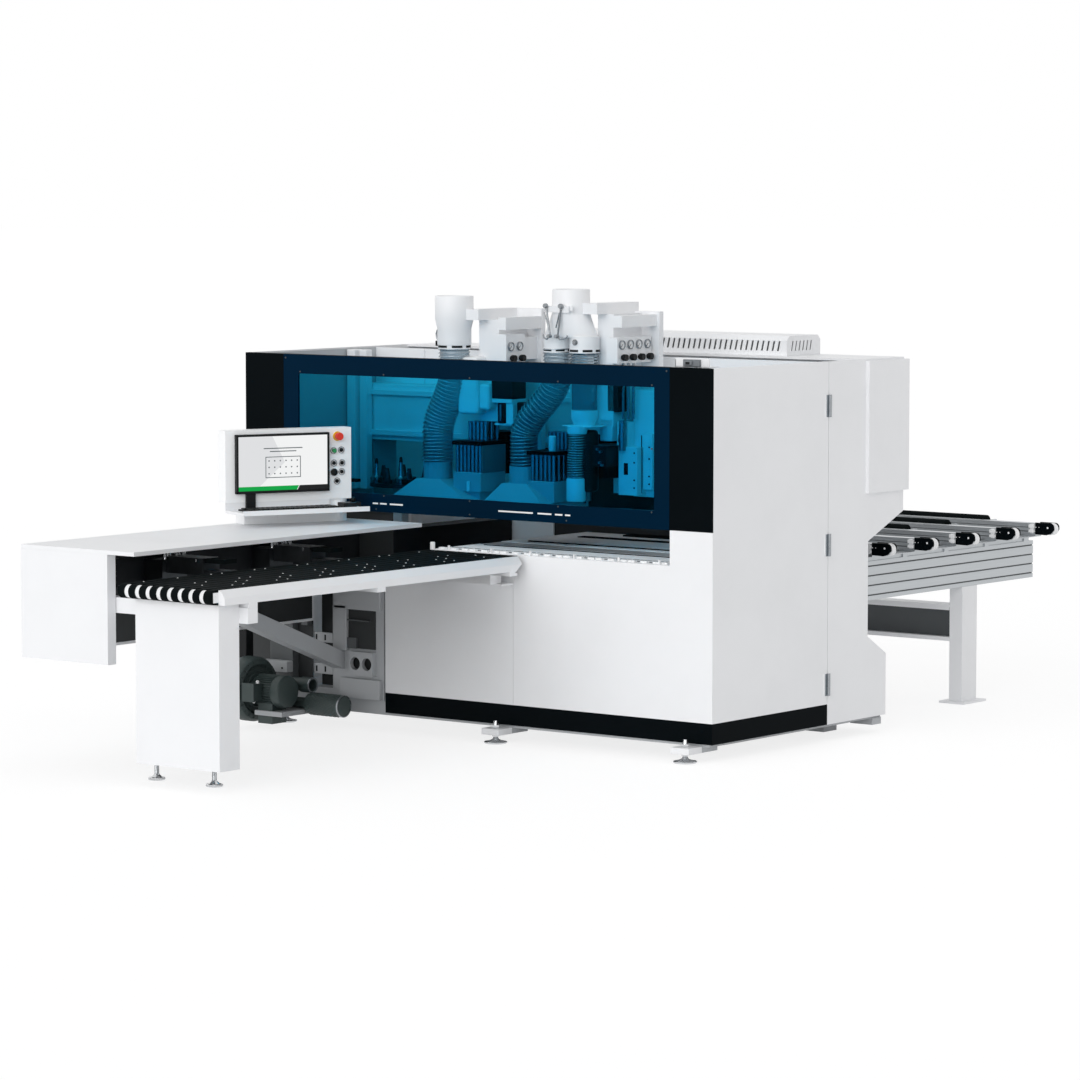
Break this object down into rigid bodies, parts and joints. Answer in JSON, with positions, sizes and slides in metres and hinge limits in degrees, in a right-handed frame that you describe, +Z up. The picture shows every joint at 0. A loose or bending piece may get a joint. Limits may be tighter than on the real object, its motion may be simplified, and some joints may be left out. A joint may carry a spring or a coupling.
{
  "type": "six sided cnc drilling machine",
  "caption": "Through-feed drilling machine for boards: enclosed gantry with two drilling heads, grippers on a side table, belt infeed, roller outfeed and a console.",
  "frame": {"origin": "on the floor, in the middle of the footprint of the whole machine", "axes": "+Z up, +Y in the direction that boards are fed, from the infeed conveyor to the outfeed table, +X to the right for someone who faces the window from the infeed side"},
  "size_m": [3.086, 5.87, 2.305],
  "materials": {
    "white_paint": "semi-gloss",
    "grey_paint": "satin",
    "black_paint": "semi-gloss",
    "navy_paint": "semi-gloss",
    "tinted_glass": "clear",
    "dark_grey_castings": "satin",
    "bare_aluminium": "satin",
    "bare_steel": "satin",
    "black_rubber": "matte",
    "hose_plastic": "gloss",
    "white_plastic": "semi-gloss",
    "black_plastic": "matte",
    "red_plastic": "gloss",
    "green_plastic": "gloss"
  },
  "bodies": {
    "machine": {"console_housing": "white_paint", "monitor": "black_plastic", "keyboard_tray": "white_paint", "base_frame": "grey_paint", "black_skirt": "black_paint", "front_panel_right": "white_paint", "front_panel_left": "white_paint", "front_frame": "black_paint", "rear_side_panel": "white_paint", "back_panels": "white_paint", "top_vent_cover": "white_paint", "foot_front_right": "bare_steel", "foot_front_middle": "bare_steel", "foot_front_left": "bare_steel", "work_table": "bare_aluminium", "gantry_beam": "grey_paint", "table_top": "white_paint", "table_cover": "white_paint", "gripper_beam": "bare_aluminium", "infeed_belt_bed": "black_rubber", "infeed_frame": "white_paint", "infeed_leg_cover": "white_paint", "support_frame": "grey_paint", "blower": "dark_grey_castings", "outfeed_table": "bare_aluminium", "outfeed_legs": "white_paint"},
    "window": {"window_frame": "navy_paint", "window_glass": "tinted_glass"},
    "side_door": {"side_door": "white_paint"},
    "tool_disc": {"tool_disc": "bare_steel"},
    "carriage_1": {"carriage_1": "white_paint", "duct_port_1": "white_paint", "dust_hose_1": "hose_plastic"},
    "head_1": {"drill_block_1": "dark_grey_castings", "dust_hood_1": "grey_paint"},
    "drill_1": {"drill_1": "bare_steel"},
    "carriage_2": {"carriage_2": "white_paint", "duct_port_2": "white_paint", "dust_hose_2": "hose_plastic"},
    "head_2": {"drill_block_2": "dark_grey_castings", "dust_hood_2": "grey_paint"},
    "drill_2": {"drill_2": "bare_steel"},
    "router_chuck": {"router_chuck": "bare_steel"},
    "lower_drill_unit": {"lower_drill_unit": "dark_grey_castings"},
    "gripper_1": {"gripper_1": "bare_steel"},
    "gripper_jaw_1": {"gripper_jaw_1": "black_rubber"},
    "gripper_2": {"gripper_2": "bare_steel"},
    "gripper_jaw_2": {"gripper_jaw_2": "black_rubber"},
    "infeed_nose_roller": {"infeed_nose_roller": "white_paint"},
    "estop_button": {"estop_button": "red_plastic"},
    "start_button": {"start_button": "green_plastic"},
    "outfeed_pulley_1": {"outfeed_pulley_1": "white_plastic"},
    "outfeed_pulley_2": {"outfeed_pulley_2": "white_plastic"},
    "outfeed_pulley_3": {"outfeed_pulley_3": "white_plastic"},
    "outfeed_pulley_4": {"outfeed_pulley_4": "white_plastic"},
    "outfeed_pulley_5": {"outfeed_pulley_5": "white_plastic"},
    "outfeed_roller_1": {"outfeed_roller_1": "black_rubber"},
    "outfeed_roller_2": {"outfeed_roller_2": "black_rubber"},
    "outfeed_roller_3": {"outfeed_roller_3": "black_rubber"},
    "outfeed_roller_4": {"outfeed_roller_4": "black_rubber"}
  },
  "joints": [
    {"name": "window_lift", "type": "slide", "parent": "machine", "child": "window", "axis": [0, 0, 1], "range_m": [0, 0.5]},
    {"name": "side_door_swing", "type": "hinge", "parent": "machine", "child": "side_door", "pos_m": [1.531, 0.42, 1.072], "axis": [0, 0, 1], "range_deg": [0, 100]},
    {"name": "tool_disc_turn", "type": "hinge", "parent": "machine", "child": "tool_disc", "pos_m": [-1.177, 0.31, 1.2], "axis": [0, 0, 1], "continuous": true},
    {"name": "carriage_1_traverse", "type": "slide", "parent": "machine", "child": "carriage_1", "axis": [1, 0, 0], "range_m": [-0.4, 0.02]},
    {"name": "head_1_plunge", "type": "slide", "parent": "carriage_1", "child": "head_1", "axis": [0, 0, 1], "range_m": [-0.12, 0], "deforming": ["dust_hose_1"]},
    {"name": "drill_1_spin", "type": "hinge", "parent": "head_1", "child": "drill_1", "pos_m": [-0.3745, -0.09, 1.1497], "axis": [0, 0, 1], "continuous": true},
    {"name": "carriage_2_traverse", "type": "slide", "parent": "machine", "child": "carriage_2", "axis": [1, 0, 0], "range_m": [-0.02, 0.45]},
    {"name": "head_2_plunge", "type": "slide", "parent": "carriage_2", "child": "head_2", "axis": [0, 0, 1], "range_m": [-0.12, 0], "deforming": ["dust_hose_2"]},
    {"name": "drill_2_spin", "type": "hinge", "parent": "head_2", "child": "drill_2", "pos_m": [0.118, -0.09, 1.1497], "axis": [0, 0, 1], "continuous": true},
    {"name": "router_spin", "type": "hinge", "parent": "head_2", "child": "router_chuck", "pos_m": [0.368, -0.09, 1.2617], "axis": [0, 0, 1], "continuous": true},
    {"name": "lower_unit_plunge", "type": "slide", "parent": "machine", "child": "lower_drill_unit", "axis": [0, 0, 1], "range_m": [0, 0.085]},
    {"name": "gripper_1_feed", "type": "slide", "parent": "machine", "child": "gripper_1", "axis": [0, 1, 0], "range_m": [-0.5, 0.35]},
    {"name": "gripper_1_clamp", "type": "slide", "parent": "gripper_1", "child": "gripper_jaw_1", "axis": [0, 0, 1], "range_m": [-0.03, 0]},
    {"name": "gripper_2_feed", "type": "slide", "parent": "machine", "child": "gripper_2", "axis": [0, 1, 0], "range_m": [-0.25, 1.6]},
    {"name": "gripper_2_clamp", "type": "slide", "parent": "gripper_2", "child": "gripper_jaw_2", "axis": [0, 0, 1], "range_m": [-0.03, 0]},
    {"name": "infeed_belt_drive", "type": "hinge", "parent": "machine", "child": "infeed_nose_roller", "pos_m": [0.023, -2.9, 0.93], "axis": [1, 0, 0], "continuous": true},
    {"name": "estop_press", "type": "slide", "parent": "machine", "child": "estop_button", "axis": [-0.915, 0.4035, 0], "range_m": [0, 0.005], "stiffness_N_per_m": 800, "springref_m": -0.003},
    {"name": "start_press", "type": "slide", "parent": "machine", "child": "start_button", "axis": [-0.915, 0.4035, 0], "range_m": [0, 0.003], "stiffness_N_per_m": 600, "springref_m": -0.002},
    {"name": "outfeed_pulley_1_turn", "type": "hinge", "parent": "machine", "child": "outfeed_pulley_1", "pos_m": [1.38, 1.205, 0.926], "axis": [0, 1, 0], "continuous": true},
    {"name": "outfeed_pulley_2_turn", "type": "hinge", "parent": "machine", "child": "outfeed_pulley_2", "pos_m": [1.38, 1.616, 0.926], "axis": [0, 1, 0], "continuous": true},
    {"name": "outfeed_pulley_3_turn", "type": "hinge", "parent": "machine", "child": "outfeed_pulley_3", "pos_m": [1.38, 2.027, 0.926], "axis": [0, 1, 0], "continuous": true},
    {"name": "outfeed_pulley_4_turn", "type": "hinge", "parent": "machine", "child": "outfeed_pulley_4", "pos_m": [1.38, 2.438, 0.926], "axis": [0, 1, 0], "continuous": true},
    {"name": "outfeed_pulley_5_turn", "type": "hinge", "parent": "machine", "child": "outfeed_pulley_5", "pos_m": [1.38, 2.849, 0.926], "axis": [0, 1, 0], "continuous": true},
    {"name": "outfeed_roller_1_turn", "type": "hinge", "parent": "machine", "child": "outfeed_roller_1", "pos_m": [0.318, 1.679, 0.942], "axis": [1, 0, 0], "continuous": true},
    {"name": "outfeed_roller_2_turn", "type": "hinge", "parent": "machine", "child": "outfeed_roller_2", "pos_m": [0.318, 2.09, 0.942], "axis": [1, 0, 0], "continuous": true},
    {"name": "outfeed_roller_3_turn", "type": "hinge", "parent": "machine", "child": "outfeed_roller_3", "pos_m": [0.318, 2.501, 0.942], "axis": [1, 0, 0], "continuous": true},
    {"name": "outfeed_roller_4_turn", "type": "hinge", "parent": "machine", "child": "outfeed_roller_4", "pos_m": [0.318, 2.912, 0.942], "axis": [1, 0, 0], "continuous": true}
  ],
  "couplings": [
    {"joint": "outfeed_pulley_2_turn", "follows": "outfeed_pulley_1_turn", "ratio": 1},
    {"joint": "outfeed_pulley_3_turn", "follows": "outfeed_pulley_1_turn", "ratio": 1},
    {"joint": "outfeed_pulley_4_turn", "follows": "outfeed_pulley_1_turn", "ratio": 1},
    {"joint": "outfeed_pulley_5_turn", "follows": "outfeed_pulley_1_turn", "ratio": 1},
    {"joint": "outfeed_roller_2_turn", "follows": "outfeed_roller_1_turn", "ratio": 1},
    {"joint": "outfeed_roller_3_turn", "follows": "outfeed_roller_1_turn", "ratio": 1},
    {"joint": "outfeed_roller_4_turn", "follows": "outfeed_roller_1_turn", "ratio": 1}
  ]
}
